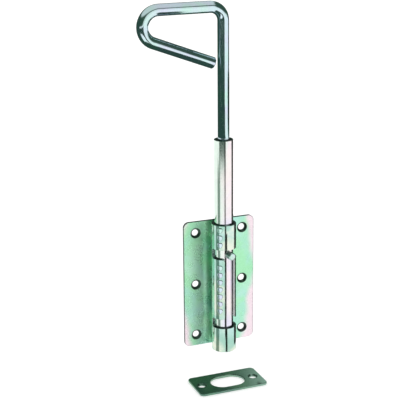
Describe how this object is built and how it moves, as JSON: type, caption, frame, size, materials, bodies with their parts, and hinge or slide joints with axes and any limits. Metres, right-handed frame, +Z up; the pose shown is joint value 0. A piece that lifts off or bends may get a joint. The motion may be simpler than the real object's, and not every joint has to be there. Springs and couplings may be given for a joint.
{
  "type": "cane bolt",
  "caption": "Zinc-plated cane bolt: tube bolt with a bent loop handle, sliding in a slotted guide tube on a screw plate, with a slotted floor strike.",
  "frame": {"origin": "middle of the back plate's rear face, which lies on the gate leaf", "axes": "+X to the right seen from the front, +Y into the gate leaf, +Z up along the bolt's axis"},
  "size_m": [0.1337, 0.043, 0.415],
  "materials": {
    "plate_zinc": "bright zinc plate with a pale green and pink passivation tint",
    "guide_zinc": "bright zinc plate on drawn tube, yellow-green and pink tint",
    "bolt_zinc": "bright zinc plate on drawn tube, white with a pink tint",
    "rod_zinc": "glossy zinc plate on round bar, blue-green tint",
    "stud_zinc": "bright zinc plate on a turned pin",
    "weld_zinc": "zinc-plated weld bead, duller and rippled",
    "strike_zinc": "zinc plate with a darker grey-green tint"
  },
  "bodies": {
    "mounting": {"back_plate": "plate_zinc", "guide_tube": "guide_zinc", "upper_welds": "weld_zinc", "lower_welds": "weld_zinc", "floor_strike": "strike_zinc"},
    "nose": {"nose_plug": "bolt_zinc"},
    "bolt": {"bolt_tube": "bolt_zinc", "rod_bush": "bolt_zinc", "handle_rod": "rod_zinc", "locking_stud": "stud_zinc"}
  },
  "joints": [
    {"name": "bolt_drop", "type": "slide", "parent": "mounting", "child": "nose", "axis": [0, 0, 1], "range_m": [-0.0775, 0]},
    {"name": "bolt_turn", "type": "hinge", "parent": "nose", "child": "bolt", "pos_m": [0, -0.016, 0], "axis": [0, 0, 1], "range_deg": [0, 90]}
  ]
}
